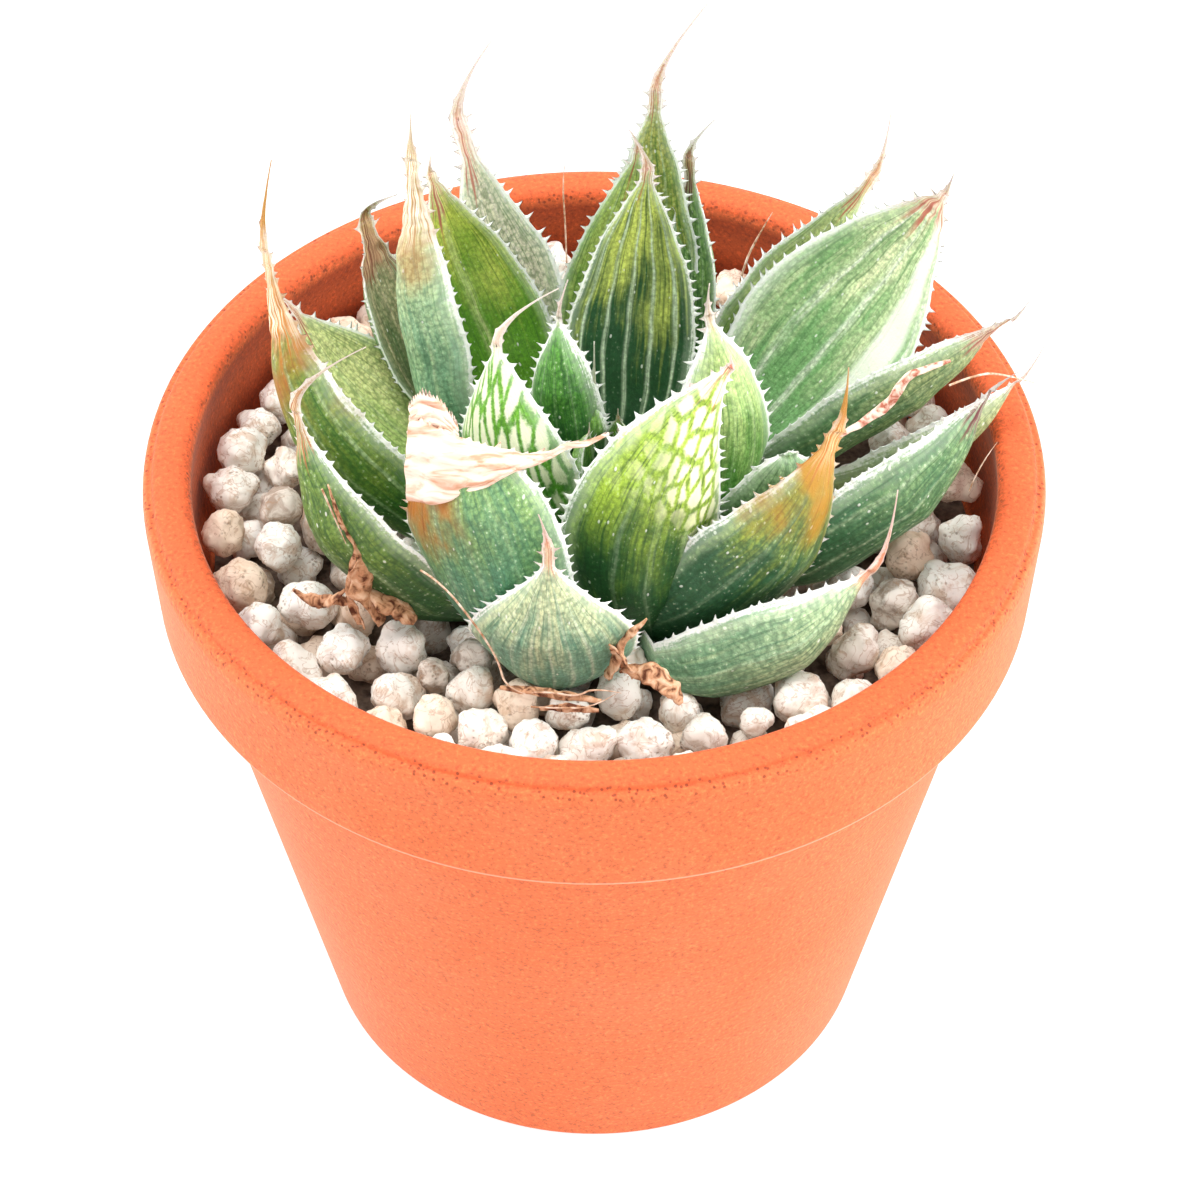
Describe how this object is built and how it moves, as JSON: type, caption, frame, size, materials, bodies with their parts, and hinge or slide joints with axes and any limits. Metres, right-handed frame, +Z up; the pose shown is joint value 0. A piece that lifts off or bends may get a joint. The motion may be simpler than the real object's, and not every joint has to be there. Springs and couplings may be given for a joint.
{
  "type": "potted haworthia",
  "caption": "Small collared terracotta pot with a rosette succulent of keeled, toothed, pointed leaves standing in a top dressing of round pumice.",
  "frame": {"origin": "on the pot's axis, in the plane that the pot stands on", "axes": "+Z up along the pot's axis, -Y towards the front of the plant, +X to its right"},
  "size_m": [0.105, 0.105, 0.125],
  "materials": {
    "terracotta": "matte",
    "potting_mix": "matte",
    "root": "matte",
    "leaf": "satin",
    "dry_leaf": "matte",
    "pumice": "matte"
  },
  "bodies": {
    "root": {"terracotta_pot": "terracotta", "drain_crock": "terracotta", "crown_and_roots": "root", "potting_mix": "potting_mix", "leaf_bud": "leaf", "leaf_inner_dark": "leaf", "leaf_back_striped": "leaf", "leaf_inner_windowed": "leaf", "leaf_center_windowed": "leaf", "leaf_front_short": "leaf", "leaf_front_folded": "leaf", "leaf_front_amber": "leaf", "leaf_front_low": "leaf", "leaf_left_front": "leaf", "leaf_left_outer": "leaf", "leaf_center_right": "leaf", "leaf_right_hidden": "leaf", "leaf_right_broad": "leaf", "leaf_right_dark": "leaf", "leaf_right_slim": "leaf", "leaf_right_small": "leaf", "leaf_back_shoulder": "leaf", "leaf_back_tall": "leaf", "leaf_back_narrow": "leaf", "leaf_back_right": "leaf", "leaf_left_bright": "leaf", "leaf_back_left": "leaf", "leaf_left_upright": "leaf", "leaf_left_low": "leaf", "leaf_left_curled": "leaf", "withered_leaf_left": "dry_leaf", "withered_husk_front": "dry_leaf", "withered_tip_right": "dry_leaf", "pumice_lump_01": "pumice", "pumice_lump_02": "pumice", "pumice_lump_03": "pumice", "pumice_lump_04": "pumice", "pumice_lump_05": "pumice", "pumice_lump_06": "pumice", "pumice_lump_07": "pumice", "pumice_lump_08": "pumice", "pumice_lump_09": "pumice", "pumice_lump_10": "pumice", "pumice_lump_11": "pumice", "pumice_lump_12": "pumice", "pumice_lump_13": "pumice", "pumice_lump_14": "pumice", "pumice_lump_15": "pumice", "pumice_lump_16": "pumice", "pumice_lump_17": "pumice", "pumice_lump_18": "pumice", "pumice_lump_19": "pumice", "pumice_lump_20": "pumice", "pumice_lump_21": "pumice", "pumice_lump_22": "pumice", "pumice_bed": "pumice"}
  },
  "joints": []
}
